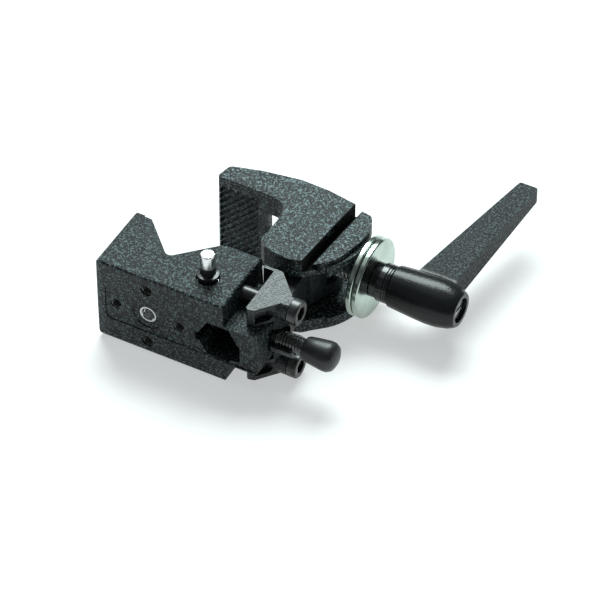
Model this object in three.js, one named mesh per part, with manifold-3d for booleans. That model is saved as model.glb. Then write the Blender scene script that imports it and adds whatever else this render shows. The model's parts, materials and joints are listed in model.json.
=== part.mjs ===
// Super clamp: fixed V jaw with a hex stud socket, swinging cam jaw, lever screw.
import * as THREE from 'three';
import { mergeVertices } from 'three/addons/utils/BufferGeometryUtils.js';
import Module from 'manifold-3d';

const wasm = await Module();
wasm.setup();

// ---- driving dimensions (millimetres) ----
const ORIGIN = [20.5, 8, 0];          // row origin in the drawing frame
const BODY_L = 52.5, BODY_D = 30.5, BODY_H = 38;
const V_APEX = [20.5, 15.5], V_HALF = 15;
const TONGUE_X = 67.7, TONGUE_Z0 = 9.7, TONGUE_Z1 = 28.3, TONGUE_Y = 26.8;
const SOCKET_X = 50.5, SOCKET_Z = 19, SOCKET_AF = 16, SOCKET_DEPTH = 24.5;
const PIN_X = 40.1, PIN_Y = 12, PIN_R = 3;
const PIVOT = [56, 47.5];             // jaw pivot, vertical
const RIM_C = [56.4, 59.5], RIM_R = 23.8;
const NUT = [61, 59.5];               // barrel nut, vertical
const SCREW_Y = 59.5, SCREW_Z = 18, SCREW_R = 5;
const WASHER_R = 16;
const SLAB_TOP = 28.5, SLAB_BOT = 5.7;
const CAVITY_R = 22.8;
const LOCK_Y = 12.8, LOCK_Z = 19.6;
const CAP_Y = 16, CAP_Z = [32.6, 5.4];

// ---- helpers ----
function solid(geometry) {
  const g = geometry.clone();
  g.deleteAttribute('normal');
  g.deleteAttribute('uv');
  const m = mergeVertices(g, 1e-4);
  const index = m.index
    ? Uint32Array.from(m.index.array)
    : Uint32Array.from({ length: m.attributes.position.count }, (_, i) => i);
  return new wasm.Manifold(new wasm.Mesh({
    numProp: 3,
    vertProperties: Float32Array.from(m.attributes.position.array),
    triVerts: index,
  }));
}

function toGeometry(body) {
  const mesh = body.getMesh();
  const g = new THREE.BufferGeometry();
  g.setAttribute('position', new THREE.BufferAttribute(Float32Array.from(mesh.vertProperties), 3));
  g.setIndex(new THREE.BufferAttribute(Uint32Array.from(mesh.triVerts), 1));
  return g;
}

// corners given as [x, y, radius]
function roundedPoints(corners, steps = 5) {
  const out = [];
  const n = corners.length;
  for (let i = 0; i < n; i++) {
    const [x, y, r = 0] = corners[i];
    if (!r) { out.push(new THREE.Vector2(x, y)); continue; }
    const p = new THREE.Vector2(x, y);
    const a = new THREE.Vector2(...corners[(i + n - 1) % n].slice(0, 2)).sub(p);
    const b = new THREE.Vector2(...corners[(i + 1) % n].slice(0, 2)).sub(p);
    const la = a.length(), lb = b.length();
    a.normalize(); b.normalize();
    const half = Math.acos(Math.max(-1, Math.min(1, a.dot(b)))) / 2;
    const t = Math.min(r / Math.tan(half), la * 0.49, lb * 0.49);
    const rr = t * Math.tan(half);
    const centre = p.clone().add(a.clone().add(b).normalize().multiplyScalar(rr / Math.sin(half)));
    const s = p.clone().add(a.multiplyScalar(t)).sub(centre);
    const e = p.clone().add(b.multiplyScalar(t)).sub(centre);
    let d = Math.atan2(e.y, e.x) - Math.atan2(s.y, s.x);
    while (d > Math.PI) d -= 2 * Math.PI;
    while (d < -Math.PI) d += 2 * Math.PI;
    for (let k = 0; k <= steps; k++) {
      const v = s.clone().rotateAround(new THREE.Vector2(), d * k / steps);
      out.push(v.add(centre));
    }
  }
  return out;
}

const shapeOf = (corners, steps) => new THREE.Shape(roundedPoints(corners, steps));

function prismZ(corners, z0, z1, steps) {
  const g = new THREE.ExtrudeGeometry(shapeOf(corners, steps), { depth: z1 - z0, bevelEnabled: false, curveSegments: 12 });
  g.translate(0, 0, z0);
  return solid(g);
}

// outline in (x, z), swept along Y
function prismY(corners, y0, y1, steps) {
  const g = new THREE.ExtrudeGeometry(shapeOf(corners, steps), { depth: y1 - y0, bevelEnabled: false });
  g.rotateX(Math.PI / 2);
  g.translate(0, y1, 0);
  return solid(g);
}

// outline in (y, z), swept along X
function prismX(corners, x0, x1, steps) {
  const g = new THREE.ExtrudeGeometry(shapeOf(corners, steps), { depth: x1 - x0, bevelEnabled: false });
  g.rotateZ(Math.PI / 2);
  g.rotateY(Math.PI / 2);
  g.translate(x0, 0, 0);
  return solid(g);
}

function box(x0, x1, y0, y1, z0, z1) {
  const g = new THREE.BoxGeometry(x1 - x0, y1 - y0, z1 - z0);
  g.translate((x0 + x1) / 2, (y0 + y1) / 2, (z0 + z1) / 2);
  return solid(g);
}

function cylZ(x, y, z0, z1, r, seg = 40) {
  const g = new THREE.CylinderGeometry(r, r, z1 - z0, seg);
  g.rotateX(Math.PI / 2);
  g.translate(x, y, (z0 + z1) / 2);
  return solid(g);
}

function cylX(x0, x1, y, z, r, seg = 40) {
  const g = new THREE.CylinderGeometry(r, r, x1 - x0, seg);
  g.rotateZ(-Math.PI / 2);
  g.translate((x0 + x1) / 2, y, z);
  return solid(g);
}

function cylY(x, y0, y1, z, r, seg = 32) {
  const g = new THREE.CylinderGeometry(r, r, y1 - y0, seg);
  g.translate(x, (y0 + y1) / 2, z);
  return solid(g);
}

// closed profile of [along, radius] turned about X through (y, z)
function latheX(profile, y, z, seg = 48) {
  const pts = profile.map(([a, r]) => new THREE.Vector2(r, a));
  const g = new THREE.LatheGeometry(pts, seg);
  g.rotateZ(-Math.PI / 2);
  g.translate(0, y, z);
  let m = solid(g);
  if (m.volume() < 0) {
    const flipped = new THREE.LatheGeometry(pts.slice().reverse(), seg);
    flipped.rotateZ(-Math.PI / 2);
    flipped.translate(0, y, z);
    m = solid(flipped);
  }
  return m;
}

function latheZ(profile, x, y, seg = 40) {
  const pts = profile.map(([a, r]) => new THREE.Vector2(r, a));
  const build = (list) => {
    const g = new THREE.LatheGeometry(list, seg);
    g.rotateX(Math.PI / 2);
    g.translate(x, y, 0);
    return solid(g);
  };
  const m = build(pts);
  return m.volume() < 0 ? build(pts.slice().reverse()) : m;
}

const rad = THREE.MathUtils.degToRad;

// ring sector about (cx, cy), between two radii and two angles
function sector(cx, cy, r0, r1, a0, a1, z0, z1, n = 20) {
  const pts = [];
  for (let i = 0; i <= n; i++) {
    const a = rad(a0 + (a1 - a0) * i / n);
    pts.push([cx + r1 * Math.cos(a), cy + r1 * Math.sin(a)]);
  }
  for (let i = n; i >= 0; i--) {
    const a = rad(a0 + (a1 - a0) * i / n);
    pts.push([cx + r0 * Math.cos(a), cy + r0 * Math.sin(a)]);
  }
  return prismZ(pts, z0, z1);
}

function helix(x, y, z0, z1, r, turns, wire, alongX = false) {
  class Coil extends THREE.Curve {
    getPoint(t, target = new THREE.Vector3()) {
      const a = t * turns * 2 * Math.PI;
      const h = z0 + wire + (z1 - z0 - 2 * wire) * t;
      return alongX
        ? target.set(h, x + r * Math.cos(a), y + r * Math.sin(a))
        : target.set(x + r * Math.cos(a), y + r * Math.sin(a), h);
    }
  }
  const section = new THREE.Shape(Array.from({ length: 6 }, (_, i) => new THREE.Vector2(
    wire * Math.cos(i * Math.PI / 3), wire * Math.sin(i * Math.PI / 3))));
  return solid(new THREE.ExtrudeGeometry(section, {
    steps: Math.round(turns * 12), bevelEnabled: false, extrudePath: new Coil(),
  }));
}

function hexPrismX(x0, x1, y, z, af) {
  const r = af / Math.sqrt(3);
  return prismX(Array.from({ length: 6 }, (_, i) => [
    y + r * Math.cos(rad(60 * i + 30)), z + r * Math.sin(rad(60 * i + 30))]), x0, x1);
}

// ---- materials ----
const mat = (color, roughness, metalness) => new THREE.MeshStandardMaterial({ color, roughness, metalness });
const castBlack = () => mat(0x24262a, 0.55, 0.35);
const glossBlack = () => mat(0x17181a, 0.35, 0.3);
const blackOxide = () => mat(0x1c1c1e, 0.4, 0.8);
const zinc = () => mat(0xc9cec6, 0.3, 0.95);
const steel = () => mat(0xb4b6b8, 0.3, 0.95);
const brass = () => mat(0xc8b878, 0.35, 0.9);

const group = new THREE.Group();
group.position.set(-ORIGIN[0], -ORIGIN[1], -ORIGIN[2]);

// each body is stored about its own centre and placed by the mesh position
function piece(name, body, material) {
  const g = toGeometry(body);
  g.computeBoundingBox();
  const c = g.boundingBox.getCenter(new THREE.Vector3());
  c.set(Math.round(c.x * 8) / 8, Math.round(c.y * 8) / 8, Math.round(c.z * 8) / 8);
  g.translate(-c.x, -c.y, -c.z);
  g.computeVertexNormals();
  const mesh = new THREE.Mesh(g, material);
  mesh.name = name;
  mesh.position.copy(c);
  group.add(mesh);
  return mesh;
}

// ---- fixed jaw ----
{
  let b = prismZ([
    [-1.6, 0, 1.6], [BODY_L + 2.2, 0, 0], [BODY_L + 2.2, BODY_D, 0], [V_APEX[0] + V_HALF, BODY_D, 1],
    [V_APEX[0], V_APEX[1], 2.4], [V_APEX[0] - V_HALF, BODY_D, 1.4], [-1.6, BODY_D, 2.6],
  ], 0, BODY_H);
  b = b.intersect(prismY([
    [-0.6, 0, 3], [BODY_L + 2, 0, 3], [BODY_L + 0.1, BODY_H, 1.2], [-1.5, BODY_H, 1.8],
  ], -1, BODY_D + 1));
  b = b.intersect(prismX([
    [0, 0, 1.8], [BODY_D, 0, 1.8], [BODY_D, BODY_H, 1], [0, BODY_H, 1],
  ], -3, BODY_L + 4));
  // ledge under the top face along the V
  const k = 2.7 * Math.SQRT2;
  b = b.subtract(prismZ([
    [V_APEX[0] + V_HALF + 20, BODY_D + 20 - k], [V_APEX[0], V_APEX[1] - k, 3.4],
    [V_APEX[0] - V_HALF - 20, BODY_D + 20 - k], [V_APEX[0] - V_HALF - 20, BODY_D + 40],
    [V_APEX[0] + V_HALF + 20, BODY_D + 40],
  ].slice(0).reverse(), BODY_H - 1.3, BODY_H + 1)
    .intersect(box(2.6, V_APEX[0] + V_HALF + 2.2, 0, BODY_D + 2, BODY_H - 2, BODY_H + 2)));
  // tongue with the stud socket
  b = b.add(prismY([
    [BODY_L - 4, TONGUE_Z0], [TONGUE_X, TONGUE_Z0, 2.4], [TONGUE_X, TONGUE_Z1, 2], [BODY_L - 4, TONGUE_Z1],
  ], 0, TONGUE_Y));
  // shallow front panel and ring
  b = b.subtract(prismY([[2.5, 10.4, 2], [TONGUE_X - 0.8, 10.4, 1.6], [TONGUE_X - 0.8, 27.6, 1.6], [2.5, 27.6, 2]], -1, 0.35));
  b = b.subtract(cylY(20.4, -1, 0.7, 19, 6.35, 40));
  // accessory holes
  b = b.subtract(cylY(20.4, -1, 13, 19, 3.8, 32));
  for (const [x, z] of [[7, 19], [33.9, 19], [20.4, 31.75], [20.4, 5.8]]) b = b.subtract(cylY(x, -1, 9, z, 2.4, 24));
  // hex socket
  const hr = SOCKET_AF / Math.sqrt(3);
  const hex = Array.from({ length: 6 }, (_, i) => [
    SOCKET_X + hr * Math.cos(rad(60 * i)), SOCKET_Z + hr * Math.sin(rad(60 * i)), i % 3 === 0 ? 0 : 0.8]);
  b = b.subtract(prismY(hex, -1, SOCKET_DEPTH, 3));
  // relief beside the socket, under the lock screw, and the slot that the safety pin crosses
  b = b.subtract(prismY([[52, 11.6], [59.2, 12.5, 0.6], [59.7, 13.2], [59.7, 20.6, 0.6], [57, 21.4], [52, 21]], -1, SOCKET_DEPTH, 3));
  b = b.subtract(box(40.6, 45, -1, 13, 16.6, 20.2));
  // safety pin bore, upper spring pocket and lower counterbore
  b = b.subtract(cylZ(PIN_X, PIN_Y, -1, BODY_H + 1, PIN_R + 0.3));
  b = b.subtract(cylZ(PIN_X, PIN_Y, 26.5, BODY_H + 1, 4.6));
  b = b.subtract(cylZ(PIN_X, PIN_Y, -1, 10.7, 4.6));
  // bracket screw holes and lock screw bore
  for (const z of CAP_Z) b = b.subtract(cylX(45.6, BODY_L + 4, CAP_Y, z, 3.3, 28));
  b = b.subtract(box(SOCKET_X, TONGUE_X + 1, LOCK_Y - 4.5, LOCK_Y + 4.5, LOCK_Z - 4.5, LOCK_Z + 4.5));
  piece('fixed_jaw', b, castBlack());
}

// ---- hinge bracket ----
{
  let b = prismZ([
    [59.8, 4.4, 1.2], [63.2, 5.2, 0.4], [72.1, 16.2, 0.8], [71.7, 18.9, 0.8], [62.7, 28.4, 1.2], [59.5, 28.8, 0],
  ], 1, 37);
  b = b.add(prismZ([[55, 27.3], [60.5, 27.3], [60.5, 28.5], [55, 28.5]], 1, 37));
  // pockets in the slanted face, square at the front edge and round at the other end
  for (const z of [32.4, 5.6]) {
    const slot = new THREE.ExtrudeGeometry(shapeOf([[0.3, -2.65], [7.8, -2.65, 2.6], [7.8, 2.65, 2.6], [0.3, 2.65]], 6),
      { depth: 5, bevelEnabled: false });
    slot.translate(0, 0, -2.5);
    slot.rotateX(Math.PI / 2);
    slot.rotateZ(Math.atan2(11, 8.9));
    slot.translate(63.2, 5.2, z);
    b = b.subtract(solid(slot));
  }
  // screw seats and holes
  for (const z of CAP_Z) {
    b = b.add(cylX(62, 73, CAP_Y, z, 4.9, 32).intersect(box(60, 74, 0, 30, 1, 37)));
    b = b.subtract(cylX(50, 80, CAP_Y, z, 3.3, 28));
  }
  // clearance round the tongue
  b = b.subtract(box(40, TONGUE_X + 0.4, -5, TONGUE_Y + 0.4, TONGUE_Z0 - 0.35, TONGUE_Z1 + 0.35));
  b = b.subtract(box(60, 80, -5, LOCK_Y + 4.5, LOCK_Z - 4.3, LOCK_Z + 4.3));
  // arm to the pivot and the nut
  const armLow = prismZ([
    [55, 27.3], [66.5, 27.3, 2], [64.8, 44, 2], [65, 50], [56, 56.5], [47, 47.5, 0], [50.5, 39, 3], [55, 32.5, 2],
  ], 7.2, 27);
  b = b.add(armLow).add(cylZ(PIVOT[0], PIVOT[1], 7.2, 27, 9, 48));
  b = b.add(cylZ(NUT[0], NUT[1], 7.2, 27, 9.5, 48));
  b = b.add(prismZ([[49.5, 52], [64.9, 45], [70, 57], [61, 62], [52.5, 62]], 7.2, 27));
  b = b.subtract(cylZ(NUT[0], NUT[1], 6, 28, 7.3, 48));
  b = b.subtract(prismZ([[40, 49.9], [56, 52.9], [61, 53.4], [70, 52.4], [90, 49.9], [90, 75], [40, 75]], 12.2, 23.8));
  b = b.subtract(cylZ(PIVOT[0], PIVOT[1], 6, 28, 4.3, 40));
  b = b.subtract(cylX(46, 53, PIVOT[1], 10.2, 2.3, 24));
  piece('hinge_bracket', b, castBlack());
}

// ---- bracket cap screws ----
CAP_Z.forEach((z, i) => {
  let b = cylX(46, 73.4, CAP_Y, z, 3, 28);
  b = b.add(latheX([[73.3, 0], [73.3, 5], [76.5, 5], [77, 4.5], [77, 0]], CAP_Y, z, 36));
  b = b.subtract(hexPrismX(74.3, 78, CAP_Y, z, 5));
  piece(i === 0 ? 'bracket_screw_upper' : 'bracket_screw_lower', b, blackOxide());
});

// ---- movable jaw ----
{
  const back = [[76, 73.5, 1.6], [71.5, 74.3], [69.3, 73.2], [57, 75.2, 30], [45.2, 75.5, 20], [30, 73, 12], [17.4, 69.4, 2.4], [16, 62.3, 0.7]];
  const front = [
    [35.1, 62.3, 0.6], [37.1, 62.1, 1], [42.9, 61.6, 4], [46.1, 59.3, 3], [47.5, 55.2, 4], [47.5, 47.2], [46.9, 41.3, 4],
    [47.5, 39.2, 2], [49.7, 37.2, 2], [55.9, 35.8, 8], [61.5, 35.4, 8], [65.8, 36.9, 3], [68.4, 39.6, 3], [73.1, 43.9, 8],
    [76.2, 48.7, 14], [79.2, 59.9, 16], [79.0, 67.2, 6], [77.5, 71.2, 3],
  ];
  const outline = front.concat(back);
  let b = prismZ(outline, 0, BODY_H, 4);
  // right-hand piece is lower, and a groove divides the two
  b = b.subtract(prismZ([[66.6, 30], [90, 30], [90, 90], [71.9, 90]], 34.5, BODY_H + 1));
  b = b.subtract(prismZ([[65.2, 30], [68.0, 30], [72.9, 90], [70.9, 90]], 31.5, BODY_H + 1));
  // front part of the top slopes down to the front from the crease
  for (const [x0, x1, top] of [[40, 67.4, BODY_H], [67.3, 92, 34.5]]) {
    b = b.subtract(prismX([[60.8, top], [60.8, top + 3], [30, top + 3], [30, top - 1.0]], x0, x1));
  }
  // cavity between the slabs, and the window through the back
  b = b.subtract(cylZ(PIVOT[0], PIVOT[1], SLAB_BOT, SLAB_TOP, CAVITY_R, 56));
  b = b.subtract(box(61.8, 95, 30, 80, SLAB_BOT, SLAB_TOP));
  b = b.subtract(box(36.6, 46, 55, 70, SLAB_BOT, SLAB_TOP));
  b = b.subtract(box(33.4, 37, 64.8, 70, SLAB_BOT, SLAB_TOP));
  b = b.subtract(box(33.4, 44.2, 64.8, 80, 9, 20));
  // rims that the washers press on
  b = b.add(sector(RIM_C[0], RIM_C[1], 19, RIM_R, -44, 33, SLAB_TOP - 1.0, SLAB_TOP + 3.6, 24));
  b = b.add(sector(RIM_C[0], RIM_C[1], 19, RIM_R, -44, 33, 1.0, SLAB_BOT, 24));
  // serrated face
  const grooves = [];
  const pitch = 2.2 * Math.SQRT2;
  for (let i = -8; i < 9; i++) {
    const g = new THREE.ExtrudeGeometry(new THREE.Shape([
      new THREE.Vector2(-1.15, -0.4), new THREE.Vector2(1.15, -0.4), new THREE.Vector2(0.35, 0.95), new THREE.Vector2(-0.35, 0.95)]), { depth: 70, bevelEnabled: false });
    // groove direction rises to +X at 45 degrees in the XZ plane
    g.translate(0, 0, -35);
    g.rotateY(rad(45));
    g.translate(26.4 + i * pitch, 62.3, 19);
    grooves.push(solid(g));
  }
  const field = prismY([[17, 2.2], [33.5, 2.2], [33.5, 33.6], [17, 33.6]], 61, 64);
  b = b.subtract(wasm.Manifold.union(grooves).intersect(field));
  // pivot bores
  b = b.subtract(cylZ(PIVOT[0], PIVOT[1], -1, 35.3, 4.3, 40));
  piece('movable_jaw', b, castBlack());
}

// ---- pivot ----
piece('pivot_pin', latheZ([[0.8, 0], [0.8, 3.5], [1.3, 4], [34.5, 4], [35, 3.5], [35, 0]], ...PIVOT), steel());
piece('pivot_washer_upper', cylZ(...PIVOT, 27.3, 28.2, 8.2).subtract(cylZ(...PIVOT, 27, 29, 4.3)), steel());
piece('pivot_washer_lower', cylZ(...PIVOT, 6.0, 6.9, 8.2).subtract(cylZ(...PIVOT, 5, 8, 4.3)), steel());
piece('pivot_set_screw', cylX(47.6, 51.7, PIVOT[1], 10.2, 2, 24).subtract(hexPrismX(46, 49.3, PIVOT[1], 10.2, 2)), blackOxide());

// ---- barrel nut ----
piece('barrel_nut', cylZ(...NUT, 7.5, 26.7, 7, 48).subtract(cylX(50, 72, NUT[1], SCREW_Z, SCREW_R + 0.3, 40)), steel());

// ---- clamp screw with a splined end, washers and collar ----
{
  let b = latheX([[54.5, 0], [54.5, 4.2], [55.3, 5], [93.6, 5], [93.6, 5.9], [106.8, 5.9], [107.2, 5.5], [107.2, 0]], SCREW_Y, SCREW_Z, 40);
  b = b.subtract(cylX(98, 108, SCREW_Y, SCREW_Z, 2.3, 28));
  piece('clamp_screw', b, steel());
}
piece('thrust_washer_inner', latheX([[80.6, 5.4], [80.6, 15.6], [81, 16], [82.5, 16], [82.9, 15.6], [82.9, 5.4], [80.6, 5.4]], SCREW_Y, SCREW_Z, 56), zinc());
piece('thrust_washer_outer', latheX([[83.2, 5.4], [83.2, 15.6], [83.6, 16], [85.1, 16], [85.5, 15.6], [85.5, 5.4], [83.2, 5.4]], SCREW_Y, SCREW_Z, 56), zinc());
{
  const p = [
    [85.8, 5.3], [85.8, 6.9], [88.2, 6.9], [88.6, 7.6], [91.0, 7.6], [91.15, 7.2], [91.35, 7.2], [91.5, 7.6],
    [92.1, 7.6], [92.25, 7.2], [92.45, 7.2], [92.6, 7.6], [93.0, 7.6], [93.2, 7.3], [93.2, 5.3], [85.8, 5.3],
  ];
  piece('screw_collar', latheX(p, SCREW_Y, SCREW_Z, 32), glossBlack());
}

// ---- lever handle ----
{
  let b = latheX([
    [93.6, 0], [93.6, 8.0], [93.9, 8.3], [105, 9.2], [109.5, 9.4], [114, 9.2], [118.5, 8.2], [120.6, 7.2], [121.3, 6.6], [121.3, 0],
  ], SCREW_Y, SCREW_Z, 56);
  let arm = prismZ([
    [98.6, 57, 0], [100.4, 66.4, 8], [111.9, 128.9, 2.2], [119.9, 128.5, 2.2], [115.2, 68.5, 6], [116.2, 57, 0],
  ], 8, 28, 6);
  arm = arm.intersect(prismX([[56, 12.4], [67, 12.9, 8], [129, 18.2, 1.5], [129, 24, 1.5], [67, 24, 8], [56, 24]], 90, 125, 6));
  b = b.add(arm);
  b = b.subtract(cylX(93, 107.5, SCREW_Y, SCREW_Z, 6.3, 40));
  b = b.subtract(cylX(107, 110, SCREW_Y, SCREW_Z, 2.6, 28));
  b = b.subtract(cylX(109.5, 122, SCREW_Y, SCREW_Z, 5, 40));
  piece('lever_handle', b, glossBlack());
}
{
  let b = cylX(98.4, 117.2, SCREW_Y, SCREW_Z, 2, 28);
  b = b.add(latheX([[117, 0], [117, 4.4], [119.6, 4.4], [120, 4], [120, 0]], SCREW_Y, SCREW_Z, 36));
  b = b.subtract(box(118.8, 121, SCREW_Y - 5, SCREW_Y + 5, SCREW_Z - 0.6, SCREW_Z + 0.6));
  piece('handle_retaining_screw', b, steel());
}
piece('handle_spring', helix(SCREW_Y, SCREW_Z, 112.9, 116.7, 3.4, 2.2, 0.6, true), steel());

// ---- safety pin ----
piece('safety_pin', latheZ([
  [8, 0], [8, 2.6], [8.4, 3], [8.8, 3], [8.8, 2.4], [10.1, 2.4], [10.1, 3], [22.3, 3], [23, 1.8], [29.3, 1.8], [30, 3], [38.3, 3], [38.3, 4.2], [40, 4.2], [40.3, 3],
  [48.8, 3], [49.7, 2.3], [50, 0],
], PIN_X, PIN_Y, 28), steel());
piece('safety_pin_spring', helix(PIN_X, PIN_Y, 26.8, 38.0, 3.9, 5.5, 0.3), steel());
{
  let b = cylZ(PIN_X, PIN_Y, 9.05, 9.85, 4.2, 32).subtract(cylZ(PIN_X, PIN_Y, 8, 11, 2.7, 24));
  b = b.subtract(box(PIN_X - 1.6, PIN_X + 1.6, PIN_Y - 6, PIN_Y, 8, 11));
  piece('safety_pin_clip', b, steel());
}

// ---- lock screw ----
piece('lock_pressure_pad', latheX([[60, 0], [60, 2.2], [60.4, 2.6], [62.2, 2.6], [62.2, 0]], LOCK_Y, LOCK_Z, 28), brass());
piece('lock_screw', latheX([
  [62.5, 0], [62.5, 2.6], [69.2, 2.6], [69.2, 3], [69.7, 3.5], [80.4, 3.5], [80.4, 2.6], [86.5, 2.6], [86.5, 0],
], LOCK_Y, LOCK_Z, 32), steel());
{
  let b = latheX([
    [80.7, 0], [80.7, 4.4], [81.6, 4.8], [85, 5.35], [89.6, 5.95], [91.4, 5.8], [92.9, 4.9], [93.8, 3], [94.1, 0],
  ], LOCK_Y, LOCK_Z, 40);
  b = b.subtract(cylX(80, 86.8, LOCK_Y, LOCK_Z, 2.9, 32));
  piece('lock_knob', b, glossBlack());
}

// ---- accessory thread insert ----
{
  let b = cylY(20.4, 0.9, 12.6, 19, 3.5, 28).subtract(cylY(20.4, 0, 14, 19, 2.6, 28));
  piece('accessory_thread_insert', b, steel());
}

export default group;
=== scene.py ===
import json
import math
import bmesh
import bpy
from mathutils import Matrix, Vector


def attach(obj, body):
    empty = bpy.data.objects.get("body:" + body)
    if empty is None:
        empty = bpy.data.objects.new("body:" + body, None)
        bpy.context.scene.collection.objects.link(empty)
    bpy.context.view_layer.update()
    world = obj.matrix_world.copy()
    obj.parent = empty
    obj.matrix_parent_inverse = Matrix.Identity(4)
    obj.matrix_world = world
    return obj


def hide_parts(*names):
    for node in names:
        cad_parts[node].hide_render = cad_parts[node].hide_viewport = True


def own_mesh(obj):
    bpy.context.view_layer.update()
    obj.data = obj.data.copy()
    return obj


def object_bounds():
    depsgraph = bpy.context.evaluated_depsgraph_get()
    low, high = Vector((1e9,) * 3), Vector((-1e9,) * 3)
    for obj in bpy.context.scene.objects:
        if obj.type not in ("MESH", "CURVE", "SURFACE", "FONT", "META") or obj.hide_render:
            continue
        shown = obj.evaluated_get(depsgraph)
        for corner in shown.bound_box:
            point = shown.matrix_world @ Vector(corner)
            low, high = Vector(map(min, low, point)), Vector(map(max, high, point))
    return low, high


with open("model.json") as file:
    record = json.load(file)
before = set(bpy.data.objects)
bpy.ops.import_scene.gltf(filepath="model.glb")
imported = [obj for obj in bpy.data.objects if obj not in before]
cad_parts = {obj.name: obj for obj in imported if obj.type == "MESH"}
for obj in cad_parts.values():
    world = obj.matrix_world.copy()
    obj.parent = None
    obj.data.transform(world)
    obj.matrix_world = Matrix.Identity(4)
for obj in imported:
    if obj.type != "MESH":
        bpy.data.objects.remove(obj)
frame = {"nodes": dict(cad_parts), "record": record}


def flat(b):
    return [[float(x) for x in v] for v in b]


CAD_BOX = flat(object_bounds())
NODES = frame["nodes"]
ORIGIN = Vector((20.5, 8.0, 0.0))      # drawing frame of the row origin, in mm


def D(x, y, z):
    """Drawing-frame millimetres to row-frame metres."""
    return (Vector((x, y, z)) - ORIGIN) / 1000.0


scene = bpy.context.scene
scene.view_settings.view_transform = "Standard"
scene.view_settings.look = "None"

# ------------------------------------------------------------------ node help
class Net:
    """Small helper that builds one procedural material."""

    def __init__(self, name):
        self.mat = bpy.data.materials.new(name)
        self.mat.use_nodes = True
        self.t = self.mat.node_tree
        self.t.nodes.clear()
        self.out = self.t.nodes.new("ShaderNodeOutputMaterial")
        self.bsdf = self.t.nodes.new("ShaderNodeBsdfPrincipled")
        self.t.links.new(self.bsdf.outputs[0], self.out.inputs[0])
        self.coord = self.t.nodes.new("ShaderNodeTexCoord")

    def node(self, kind, **values):
        n = self.t.nodes.new(kind)
        for key, value in values.items():
            setattr(n, key, value)
        return n

    def link(self, a, b):
        self.t.links.new(a, b)

    def noise(self, scale, detail=2.0, rough=0.5, vector=None):
        n = self.node("ShaderNodeTexNoise")
        n.inputs["Scale"].default_value = scale
        n.inputs["Detail"].default_value = detail
        n.inputs["Roughness"].default_value = rough
        self.link(vector or self.coord.outputs["Object"], n.inputs["Vector"])
        return n.outputs["Fac"]

    def voronoi(self, scale, feature="F1", vector=None):
        n = self.node("ShaderNodeTexVoronoi", feature=feature)
        n.inputs["Scale"].default_value = scale
        self.link(vector or self.coord.outputs["Object"], n.inputs["Vector"])
        return n.outputs["Distance"]

    def stretched(self, sx, sy, sz):
        n = self.node("ShaderNodeMapping")
        n.inputs["Scale"].default_value = (sx, sy, sz)
        self.link(self.coord.outputs["Object"], n.inputs["Vector"])
        return n.outputs["Vector"]

    def ramp(self, fac, stops):
        n = self.node("ShaderNodeValToRGB")
        els = n.color_ramp.elements
        while len(els) < len(stops):
            els.new(0.5)
        for e, (pos, col) in zip(els, stops):
            e.position = pos
            e.color = (*col, 1.0) if hasattr(col, "__len__") else (col, col, col, 1.0)
        self.link(fac, n.inputs["Fac"])
        return n.outputs["Color"]

    def map(self, value, a, b, c, d):
        n = self.node("ShaderNodeMapRange")
        for i, v in zip((1, 2, 3, 4), (a, b, c, d)):
            n.inputs[i].default_value = v
        self.link(value, n.inputs[0])
        return n.outputs[0]

    def mix(self, fac, a, b, mode="MIX"):
        n = self.node("ShaderNodeMix", data_type="RGBA", blend_type=mode)
        if isinstance(fac, (int, float)):
            n.inputs[0].default_value = fac
        else:
            self.link(fac, n.inputs[0])
        for sock, v in ((n.inputs[6], a), (n.inputs[7], b)):
            if hasattr(v, "is_output"):
                self.link(v, sock)
            else:
                sock.default_value = (*v, 1.0)
        return n.outputs[2]

    def math(self, op, a, b):
        n = self.node("ShaderNodeMath", operation=op)
        for sock, v in zip(n.inputs, (a, b)):
            if hasattr(v, "is_output"):
                self.link(v, sock)
            else:
                sock.default_value = v
        return n.outputs[0]

    def bump(self, height, strength, distance, normal=None):
        n = self.node("ShaderNodeBump")
        n.inputs["Strength"].default_value = strength
        n.inputs["Distance"].default_value = distance
        self.link(height, n.inputs["Height"])
        if normal is not None:
            self.link(normal, n.inputs["Normal"])
        return n.outputs["Normal"]

    def edges(self, low=0.51, high=0.56):
        n = self.node("ShaderNodeNewGeometry")
        return self.map(n.outputs["Pointiness"], low, high, 0.0, 1.0)

    def finish_linked(self, color, rough, normal):
        self.link(color, self.bsdf.inputs["Base Color"])
        self.link(rough, self.bsdf.inputs["Roughness"])
        self.link(normal, self.bsdf.inputs["Normal"])
        return self.mat

    def finish(self, color, rough, normal=None, metal=0.0, **constants):
        self.link(color, self.bsdf.inputs["Base Color"])
        self.link(rough, self.bsdf.inputs["Roughness"])
        self.bsdf.inputs["Metallic"].default_value = metal
        if normal is not None:
            self.link(normal, self.bsdf.inputs["Normal"])
        for key, value in constants.items():
            self.bsdf.inputs[key.replace("_", " ")].default_value = value
        return self.mat


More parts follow.
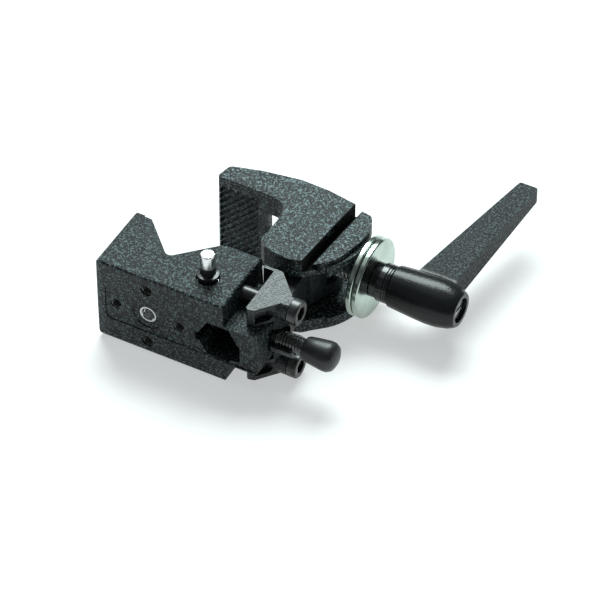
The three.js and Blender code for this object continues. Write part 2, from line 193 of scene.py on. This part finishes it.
def cast_coat(name, dark, light, speck, grain=1.0, rough=(0.36, 0.6), coarse=1.0, spec=0.27, cut=(0.44, 0.52, 0.60), hub=None, painted_groove_shade=False):
    """Wrinkle powder coat over a die casting: coarse speckled grain."""
    m = Net(name)
    blotch = m.noise(980 * coarse, 1.5, 0.55)
    fleck = m.noise(1750 * coarse, 1.5, 0.6)
    cloud = m.noise(38, 3.0, 0.6)
    mixed = m.math("ADD", m.math("MULTIPLY", blotch, 0.5), m.math("MULTIPLY", fleck, 0.5))
    base = m.ramp(mixed, [(cut[0], dark), (cut[1], light), (cut[2], speck), (1.0, speck)])
    tone = m.ramp(cloud, [(0.3, (0.94, 0.94, 0.94)), (0.7, (1.05, 1.05, 1.05))])
    color = m.mix(1.0, base, tone, "MULTIPLY")
    r = m.map(m.noise(1400 * coarse, 3.0, 0.6), 0.3, 0.7, *rough)
    height = m.math("ADD", m.math("MULTIPLY", blotch, 0.6), m.math("MULTIPLY", fleck, 0.4))
    if hub:
        # the turned hub is smoother and glossier than the cast arm
        y0, z0, r0, r1 = hub
        pos = m.node("ShaderNodeSeparateXYZ")
        m.link(m.coord.outputs["Object"], pos.inputs[0])
        dy = m.math("SUBTRACT", pos.outputs["Y"], y0)
        dz = m.math("SUBTRACT", pos.outputs["Z"], z0)
        dist = m.math("SQRT", m.math("ADD", m.math("MULTIPLY", dy, dy), m.math("MULTIPLY", dz, dz)), 0.0)
        arm = m.map(dist, r0, r1, 0.0, 1.0)
        worn_black = m.ramp(cloud, [(0.3, (0.006, 0.007, 0.0075)), (0.7, (0.012, 0.0135, 0.0145))])
        color = m.mix(arm, worn_black, color)
        r = m.math("ADD", m.math("MULTIPLY", arm, r), m.math("MULTIPLY", m.math("SUBTRACT", 1.0, arm), m.map(fleck, 0.3, 0.7, 0.2, 0.3)))
        height = m.math("MULTIPLY", height, m.map(arm, 0.0, 1.0, 0.12, 1.0))
    if painted_groove_shade:
        # painted shade: the slot across the jaw's top is coloured near black and made rough, standing in for the shade
        # in the recess
        pos = m.node("ShaderNodeSeparateXYZ")
        m.link(m.coord.outputs["Object"], pos.inputs[0])
        across = m.math("SUBTRACT", pos.outputs["X"], m.math("MULTIPLY", pos.outputs["Y"], 0.088))
        off = m.math("ABSOLUTE", m.math("SUBTRACT", across, 0.044149), 0.0)
        groove_shade_mask = m.math("MULTIPLY", m.map(off, 0.00135, 0.0015, 1.0, 0.0), m.map(pos.outputs["Z"], 0.0310, 0.0313, 0.0, 1.0))
        # painted shade: near-black colour put inside the groove
        color = m.mix(groove_shade_mask, color, (0.0012, 0.0014, 0.0015))
        r = m.math("MAXIMUM", r, m.math("MULTIPLY", groove_shade_mask, 0.95))
    n = m.bump(height, grain, 0.0008)
    n = m.bump(m.noise(90, 3.0, 0.5), 0.03, 0.0006, n)
    return m.finish(color, r, n, 0.0, Specular_IOR_Level=spec)


def satin_black(name, dark, light, rough=(0.22, 0.4), rings=False, spec=0.6, edge=(0.12, 0.125, 0.13)):
    m = Net(name)
    if rings:
        vec = m.stretched(1.0, 0.02, 0.02)
        lathe = m.noise(5200, 2.0, 0.5, vec)
    else:
        lathe = m.noise(900, 4.0, 0.6)
    cloud = m.noise(70, 4.0, 0.6)
    color = m.ramp(cloud, [(0.3, dark), (0.7, light)])
    # lighter colour at sharp edges: partly rubbed wear, partly a painted edge highlight
    edge_wear_and_highlight = m.math("MULTIPLY", m.edges(0.52, 0.62), m.map(m.noise(500, 4.0, 0.7), 0.4, 0.6, 0.1, 0.8))
    color = m.mix(edge_wear_and_highlight, color, edge)
    r = m.map(m.noise(260, 4.0, 0.65), 0.3, 0.7, *rough)
    n = m.bump(lathe, 0.10 if rings else 0.12, 0.00012)
    n = m.bump(m.noise(150, 3.0, 0.5), 0.06, 0.0004, n)
    return m.finish(color, r, n, 0.0, Specular_IOR_Level=spec)


def bare_metal(name, dark, light, rough=(0.16, 0.34), axis=(1.0, 0.03, 0.03), grain=0.12):
    m = Net(name)
    turned = m.noise(4200, 2.0, 0.5, m.stretched(*axis))
    smudge = m.noise(110, 4.0, 0.65)
    color = m.ramp(smudge, [(0.28, dark), (0.72, light)])
    color = m.mix(m.map(turned, 0.35, 0.65, 0.0, 0.22), color, tuple(0.7 * c for c in dark))
    r = m.map(m.math("ADD", smudge, m.math("MULTIPLY", turned, 0.3)), 0.4, 0.9, *rough)
    n = m.bump(turned, grain, 0.00012)
    n = m.bump(m.noise(800, 3.0, 0.6), 0.05, 0.0002, n)
    return m.finish(color, r, n, 1.0)


COAT = dict(spec=0.26, cut=(0.45, 0.525, 0.585), coarse=1.12)
CAST = cast_coat("powder_coat", (0.0012, 0.002, 0.0024), (0.006, 0.0088, 0.0098), (0.094, 0.134, 0.139), **COAT)
# the jaw coat carries painted shade in its groove
JAW = cast_coat("jaw_coat_painted_groove_shade", (0.0012, 0.002, 0.0024), (0.009, 0.0132, 0.0145), (0.150, 0.213, 0.220), painted_groove_shade=True, **{**COAT, "spec": 0.32})
BRACKET = cast_coat("bracket_coat", (0.005, 0.007, 0.0075), (0.017, 0.023, 0.024), (0.042, 0.055, 0.055), grain=0.45, rough=(0.30, 0.42), spec=0.38)
LEVER = cast_coat("lever_coat", (0.0015, 0.0025, 0.003), (0.007, 0.010, 0.0115), (0.066, 0.092, 0.098), grain=0.9, rough=(0.42, 0.62), coarse=1.1, spec=0.24, cut=(0.45, 0.525, 0.585),
                  hub=(0.0515, 0.018, 0.0096, 0.0106))
SATIN = satin_black("satin_black_steel", (0.004, 0.0045, 0.005), (0.009, 0.010, 0.011), rings=True, rough=(0.12, 0.24), spec=0.55)
# the light edge colour here is partly rubbed wear, partly a painted highlight on the screw rims
OXIDE = satin_black("black_oxide_steel", (0.006, 0.006, 0.0065), (0.016, 0.016, 0.017), rough=(0.22, 0.36), spec=0.5, edge=(0.3, 0.31, 0.31))
KNOB = satin_black("knob_rubber", (0.003, 0.0035, 0.004), (0.008, 0.009, 0.010), rough=(0.34, 0.46), spec=0.4)
THREAD = satin_black("dark_thread_steel", (0.012, 0.012, 0.013), (0.035, 0.035, 0.037), rough=(0.2, 0.36), spec=0.9)
ZINC = bare_metal("zinc_plate", (0.34, 0.42, 0.37), (0.56, 0.66, 0.59), rough=(0.14, 0.3))
STEEL = bare_metal("bright_steel", (0.45, 0.46, 0.47), (0.72, 0.73, 0.74), axis=(0.1, 0.1, 1.0))
ROD = bare_metal("turned_rod", (0.30, 0.31, 0.32), (0.52, 0.53, 0.54))


def two_tone_pin():
    m = Net("pin_bright_head")
    pos = m.node("ShaderNodeSeparateXYZ")
    m.link(m.coord.outputs["Object"], pos.inputs[0])
    smudge = m.noise(140, 4.0, 0.65)
    ring = m.noise(4200, 2.0, 0.5, m.stretched(0.03, 0.03, 1.0))
    z = m.math("ADD", pos.outputs["Z"], m.math("MULTIPLY", smudge, 0.0004))
    bright = m.map(z, 0.0440, 0.0446, 0.0, 1.0)
    metal = m.ramp(smudge, [(0.28, (0.62, 0.63, 0.64)), (0.72, (0.86, 0.87, 0.87))])
    black = m.ramp(smudge, [(0.28, (0.008, 0.008, 0.009)), (0.72, (0.02, 0.02, 0.022))])
    color = m.mix(bright, black, metal)
    r = m.map(m.math("ADD", smudge, m.math("MULTIPLY", ring, 0.3)), 0.4, 0.9, 0.16, 0.3)
    m.link(bright, m.bsdf.inputs["Metallic"])
    return m.finish_linked(color, r, m.bump(ring, 0.1, 0.00012))


PIN = two_tone_pin()
# painted highlight: the ridge-end beads get a much lighter coat than the jaw around them
BEAD = cast_coat("ridge_end_painted_highlight", (0.16, 0.18, 0.18), (0.30, 0.33, 0.33), (0.5, 0.54, 0.54), grain=0.2, rough=(0.25, 0.4), spec=0.7)
BRASS = bare_metal("turned_brass", (0.48, 0.36, 0.16), (0.70, 0.55, 0.27))

LOOK = {
    "fixed_jaw": CAST, "movable_jaw": JAW, "hinge_bracket": BRACKET, "lever_handle": LEVER,
    "bracket_screw_upper": OXIDE, "bracket_screw_lower": OXIDE, "pivot_set_screw": OXIDE, "lock_screw": THREAD,
    "handle_retaining_screw": ROD, "safety_pin_clip": OXIDE, "screw_collar": SATIN, "lock_knob": KNOB,
    "thrust_washer_inner": ZINC, "thrust_washer_outer": ZINC, "clamp_screw": ROD, "barrel_nut": ROD,
    "pivot_pin": STEEL, "pivot_washer_upper": STEEL, "pivot_washer_lower": STEEL, "safety_pin": PIN,
    "safety_pin_spring": STEEL, "handle_spring": STEEL, "accessory_thread_insert": STEEL, "lock_pressure_pad": BRASS,
}
BEVEL = {
    "fixed_jaw": 0.55, "movable_jaw": 0.7, "hinge_bracket": 0.5, "lever_handle": 0.8,
    "bracket_screw_upper": 0.25, "bracket_screw_lower": 0.25, "screw_collar": 0.1, "lock_knob": 0.2,
    "thrust_washer_inner": 0.15, "thrust_washer_outer": 0.15, "handle_retaining_screw": 0.15, "clamp_screw": 0.2,
    "barrel_nut": 0.3, "accessory_thread_insert": 0.2,
}

RECORD = frame["record"]
BODY_OF = {n: body for body, nodes in RECORD["behaviour"]["bodies"].items() for n in nodes}


def add_piece(name, mesh, body, material, stands_for=None):
    mesh.materials.clear()
    mesh.materials.append(material)
    obj = bpy.data.objects.new(name, mesh)
    scene.collection.objects.link(obj)
    wn = obj.modifiers.new("normals", "WEIGHTED_NORMAL")
    wn.keep_sharp = True
    wn.weight = 60
    if stands_for:
        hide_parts(stands_for)
    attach(obj, body)
    return obj


def close_mesh(bm, name, sharp=38):
    """Triangulates, marks what is still a crisp edge and gives the mesh back."""
    bmesh.ops.triangulate(bm, faces=[f for f in bm.faces if len(f.verts) > 4])
    for f in bm.faces:
        f.smooth = True
    for e in bm.edges:
        if len(e.link_faces) == 2:
            e.smooth = e.calc_face_angle(0.0) < math.radians(sharp)
    mesh = bpy.data.meshes.new(name)
    bm.to_mesh(mesh)
    bm.free()
    return mesh


def in_box(p, lo, hi):
    return all(lo[i] <= p[i] <= hi[i] for i in range(3))


# the serrated field of the movable jaw keeps its crisp grooves
TEETH = (D(16.7, 60.5, 1.9), D(33.8, 64.2, 33.9))


def fine(name, width, angle=38, segments=3):
    """A copy of a CAD node with its flats joined and its outer edges rounded."""
    bm = bmesh.new()
    bm.from_mesh(NODES[name].data)
    bmesh.ops.remove_doubles(bm, verts=bm.verts[:], dist=0.00002)
    bmesh.ops.dissolve_limit(bm, angle_limit=math.radians(1.0), verts=bm.verts[:], edges=bm.edges[:])
    if width:
        picked = []
        for e in bm.edges:
            if len(e.link_faces) != 2 or e.calc_face_angle(0.0) < math.radians(angle):
                continue
            mid = (e.verts[0].co + e.verts[1].co) / 2
            if name == "movable_jaw" and in_box(mid, *TEETH):
                continue
            picked.append(e)
        bmesh.ops.bevel(
            bm, geom=picked, offset=width / 1000, offset_type="OFFSET", segments=segments, profile=0.5,
            affect="EDGES", clamp_overlap=True, miter_outer="ARC")
        bmesh.ops.remove_doubles(bm, verts=bm.verts[:], dist=0.000004)
    mesh = close_mesh(bm, name + "_fine")
    return add_piece(name + "_fine", mesh, BODY_OF[name], LOOK[name], name)


def turned(name, axis, centre, profile, segments, body, material, stands_for=None, thread=None):
    """A turned piece about X, Y or Z. profile is [along, radius] in mm, closed on the axis at both ends, or a loop.
    thread = (from, to, pitch, depth) cuts a helical V into that stretch."""
    rows = []
    if thread:
        a, b, pitch, depth = thread
        dense = []
        for (p0, r0), (p1, r1) in zip(profile, profile[1:]):
            dense.append((p0, r0))
            lo, hi = sorted((p0, p1))
            if r0 == r1 and hi > a and lo < b:
                n = max(1, round(abs(p1 - p0) / (pitch / 8)))
                dense += [(p0 + (p1 - p0) * i / n, r0) for i in range(1, n)]
        dense.append(profile[-1])
        profile = dense
    bm = bmesh.new()
    c = D(*centre)
    along = "XYZ".index(axis)
    u, v = [(1, 2), (2, 0), (0, 1)][along]
    for p, rr in profile:
        if rr <= 1e-6:
            co = c.copy()
            co[along] += p / 1000
            rows.append([bm.verts.new(co)])
            continue
        ring = []
        for k in range(segments):
            t = 2 * math.pi * k / segments
            rad = rr
            if thread and a < p < b:
                phase = (p / pitch - k / segments) % 1.0
                fade = min(1.0, (p - a) / (0.7 * pitch), (b - p) / (0.7 * pitch))
                rad = rr - depth * (1 - abs(2 * phase - 1)) * fade * (1 if depth > 0 else 1)
            co = c.copy()
            co[along] += p / 1000
            co[u] += rad * math.cos(t) / 1000
            co[v] += rad * math.sin(t) / 1000
            ring.append(bm.verts.new(co))
        rows.append(ring)
    loop = len(rows[0]) > 1
    pairs = list(zip(rows, rows[1:])) + ([(rows[-1], rows[0])] if loop else [])
    for r0, r1 in pairs:
        for k in range(segments):
            n = (k + 1) % segments
            if len(r0) == 1:
                bm.faces.new((r0[0], r1[k], r1[n]))
            elif len(r1) == 1:
                bm.faces.new((r0[k], r1[0], r0[n]))
            else:
                bm.faces.new((r0[k], r1[k], r1[n], r0[n]))
    bmesh.ops.recalc_face_normals(bm, faces=bm.faces[:])
    mesh = close_mesh(bm, name, 42)
    return add_piece(name, mesh, body, material, stands_for)


TURNED = {"lock_screw", "clamp_screw", "accessory_thread_insert", "safety_pin_spring"}
for name in NODES:
    if name not in TURNED:
        fine(name, BEVEL.get(name, 0))


def coil(name, centre, z0, z1, radius, turns, wire, body, material, stands_for):
    """A round-wire compression spring about Z with closed, blunt ends."""
    bm = bmesh.new()
    steps, sides = int(turns * 40), 12
    rings = []
    for i in range(steps + 1):
        t = i / steps
        a = 2 * math.pi * turns * t
        p = D(centre[0] + radius * math.cos(a), centre[1] + radius * math.sin(a), z0 + wire + (z1 - z0 - 2 * wire) * t)
        out = Vector((math.cos(a), math.sin(a), 0))
        rings.append([bm.verts.new(
            p + (out * math.cos(2 * math.pi * k / sides) + Vector((0, 0, 1)) * math.sin(2 * math.pi * k / sides)) * wire / 1000)
            for k in range(sides)])
    for r0, r1 in zip(rings, rings[1:]):
        for k in range(sides):
            n = (k + 1) % sides
            bm.faces.new((r0[k], r1[k], r1[n], r0[n]))
    bm.faces.new(rings[0])
    bm.faces.new(rings[-1])
    bmesh.ops.recalc_face_normals(bm, faces=bm.faces[:])
    return add_piece(name, close_mesh(bm, name, 60), body, material, stands_for)


pin_spring = coil("safety_pin_coil", (40.1, 12), 26.8, 38.0, 3.9, 5.5, 0.3, BODY_OF["safety_pin_spring"], STEEL, "safety_pin_spring")
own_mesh(pin_spring)

# threads that show: the lock screw, the clamp screw, the insert and the four side holes
LOCK = (0, 12.8, 19.6)
turned("lock_screw_threaded", "X", LOCK,
       [(62.5, 0), (62.5, 2.3), (62.8, 2.6), (69.2, 2.6), (69.2, 3.0), (69.7, 3.5), (80.4, 3.5), (80.4, 2.6), (86.5, 2.6), (86.5, 0)], 40,
       BODY_OF["lock_screw"], THREAD, "lock_screw", (69.8, 80.3, 1.25, 0.6))


def half_boss(name, x0, x1, r0, r1, a0, a1, body, material, n=28):
    """The cast half-round cradle under the lock screw, open upwards, with a rounded outer end."""
    bm = bmesh.new()
    stations = [(x0, r1)] + [(x1 - 1.4 + 1.4 * math.sin(t), r1 - 0.9 * (1 - math.cos(t))) for t in (i * math.pi / 10 for i in range(6))]
    grid = []
    for x, r in stations + [(x1, r0), (x0, r0)]:
        row = []
        for k in range(n + 1):
            a = math.radians(a0 + (a1 - a0) * k / n)
            row.append(bm.verts.new(D(x, LOCK[1] + r * math.cos(a), LOCK[2] + r * math.sin(a))))
        grid.append(row)
    for r, q in zip(grid, grid[1:] + grid[:1]):
        for k in range(n):
            bm.faces.new((r[k], r[k + 1], q[k + 1], q[k]))
    bm.faces.new([row[0] for row in grid])
    bm.faces.new([row[-1] for row in grid])
    bmesh.ops.recalc_face_normals(bm, faces=bm.faces[:])
    return add_piece(name, close_mesh(bm, name, 50), body, material)


half_boss("lock_screw_cradle", 68.6, 77.6, 3.95, 5.5, -178, -6, "fixed_frame", BRACKET)
turned("clamp_screw_threaded", "X", (0, 59.5, 18),
       [(54.5, 0), (54.5, 4.2), (55.3, 5), (84, 5), (93.6, 5), (93.6, 5.9), (106.8, 5.9), (107.2, 5.5), (107.2, 2.3), (98, 2.3), (98, 0)], 48,
       BODY_OF["clamp_screw"], ROD, "clamp_screw", (55.3, 80.0, 1.5, 0.75))
turned("accessory_insert_threaded", "Y", (20.4, 0, 19),
       [(0.9, 3.5), (0.9, 2.9), (1.2, 2.6), (12.6, 2.6), (12.6, 3.5)], 36,
       BODY_OF["accessory_thread_insert"], STEEL, "accessory_thread_insert", (1.2, 12.4, 1.27, -0.5))
for tag, x, z in (("left", 7, 19), ("right", 33.9, 19), ("top", 20.4, 31.75), ("bottom", 20.4, 5.8)):
    turned("side_hole_thread_" + tag, "Y", (x, 0, z),
           [(0.7, 2.39), (0.7, 2.15), (1.0, 1.85), (8.6, 1.85), (8.6, 2.39)], 28,
           "fixed_frame", THREAD, None, (1.0, 8.5, 0.8, -0.35))



def beads():
    """Small rounded ends where each ridge meets the left and top borders of the serrated pad."""
    bm = bmesh.new()
    pitch = 2.2 * math.sqrt(2)
    spots = []
    for i in range(-9, 9):
        # ridges lie half a pitch from the grooves: z - 19 = (x - 26.4) - (i + 0.5) * pitch
        off = (i + 0.5) * pitch
        z = 19 + (16.9 - 26.4) - off
        if 2.6 < z < 33.2:
            spots.append((16.95, z))
        x = 26.4 + (33.7 - 19) + off
        if 17.6 < x < 33.2:
            spots.append((x, 33.75))
    for x, z in spots:
        m = Matrix.Translation(D(x, 62.28, z)) @ Matrix.Rotation(math.radians(-45), 4, "Y") @ Matrix.Diagonal((0.0010, 0.00045, 0.00045, 1.0))
        bmesh.ops.create_uvsphere(bm, u_segments=12, v_segments=8, radius=0.62, matrix=m)
    return add_piece("pad_ridge_ends", close_mesh(bm, "pad_ridge_ends", 60), BODY_OF["movable_jaw"], BEAD)


beads()

# ------------------------------------------------------------------ stage
floor_mesh = bpy.data.meshes.new("floor")
bm = bmesh.new()
bmesh.ops.create_grid(bm, x_segments=1, y_segments=1, size=8.0)
bm.to_mesh(floor_mesh)
bm.free()
floor = bpy.data.objects.new("floor", floor_mesh)
floor.location = (0, 0, min(0.0, CAD_BOX[0][2]) - 0.0001)
scene.collection.objects.link(floor)
fm = Net("floor_paper")
fc = fm.ramp(fm.noise(12, 3.0), [(0.3, (0.50, 0.50, 0.50)), (0.7, (0.54, 0.54, 0.54))])
fr = fm.map(fm.noise(300, 2.0), 0.3, 0.7, 0.75, 0.9)
# a lit white table: it glows a little itself, so only a faint shadow shows
fm.bsdf.inputs["Emission Color"].default_value = (0.97, 1.0, 1.0, 1.0)
fm.bsdf.inputs["Emission Strength"].default_value = 0.50
floor_mesh.materials.append(fm.finish(fc, fr, None, 0.0, Specular_IOR_Level=0.0))

world = bpy.data.worlds.new("studio")
scene.world = world
world.use_nodes = True
world.node_tree.nodes["Background"].inputs[0].default_value = (0.93, 0.97, 1.0, 1.0)
world.node_tree.nodes["Background"].inputs[1].default_value = 0.11


def area(name, place, aim, size, power, color=(1, 1, 1)):
    data = bpy.data.lights.new(name, "AREA")
    data.shape = "RECTANGLE"
    data.size, data.size_y = size
    data.energy = power
    data.color = color
    o = bpy.data.objects.new(name, data)
    o.location = place
    o.rotation_euler = (Vector(aim) - Vector(place)).to_track_quat("-Z", "Y").to_euler()
    scene.collection.objects.link(o)
    return o


AIM = D(60, 55, 20)
az, el = math.radians(27.987), math.radians(43.110)
back_dir = Vector((math.sin(az) * math.cos(el), -math.cos(az) * math.cos(el), math.sin(el)))
mirror = Vector((-back_dir.x, -back_dir.y, back_dir.z))
key_el = math.radians(54)
key_dir = Vector((-math.sin(az) * math.cos(key_el), math.cos(az) * math.cos(key_el), math.sin(key_el)))
area("key_back", AIM + key_dir * 1.5, AIM, (1.0, 0.8), 41, (0.88, 1.0, 1.0))
area("top_soft", AIM + Vector((-0.35, 0.1, 1.6)), AIM, (1.6, 1.6), 4)
area("front_fill", AIM + Vector((-0.6, -1.6, 0.9)), AIM, (1.2, 1.0), 0.3, (0.94, 0.97, 1.0))

# ------------------------------------------------------------------ camera
roll = math.radians(0.431)
dist, cx, cy, f = 1.6216, 16.876, -46.002, 4291.7
right = Vector((math.cos(az), math.sin(az), 0))
up = back_dir.cross(right)
r2 = math.cos(roll) * right + math.sin(roll) * up
u2 = -math.sin(roll) * right + math.cos(roll) * up
place = D(60, 60, 19) + dist * back_dir
look = (-back_dir - (cx / f) * r2 + (cy / f) * u2).normalized()
nb = -look
nr = (r2 - r2.dot(nb) * nb).normalized()
nu = nb.cross(nr)
cam_data = bpy.data.cameras.new("camera")
cam_data.sensor_width = 36
cam_data.lens = f / 600 * 36
cam_data.clip_end = 50
cam = bpy.data.objects.new("camera", cam_data)
cam.matrix_world = Matrix((
    (nr.x, nu.x, nb.x, place.x), (nr.y, nu.y, nb.y, place.y), (nr.z, nu.z, nb.z, place.z), (0, 0, 0, 1)))
scene.collection.objects.link(cam)
scene.camera = cam

bpy.context.view_layer.update()
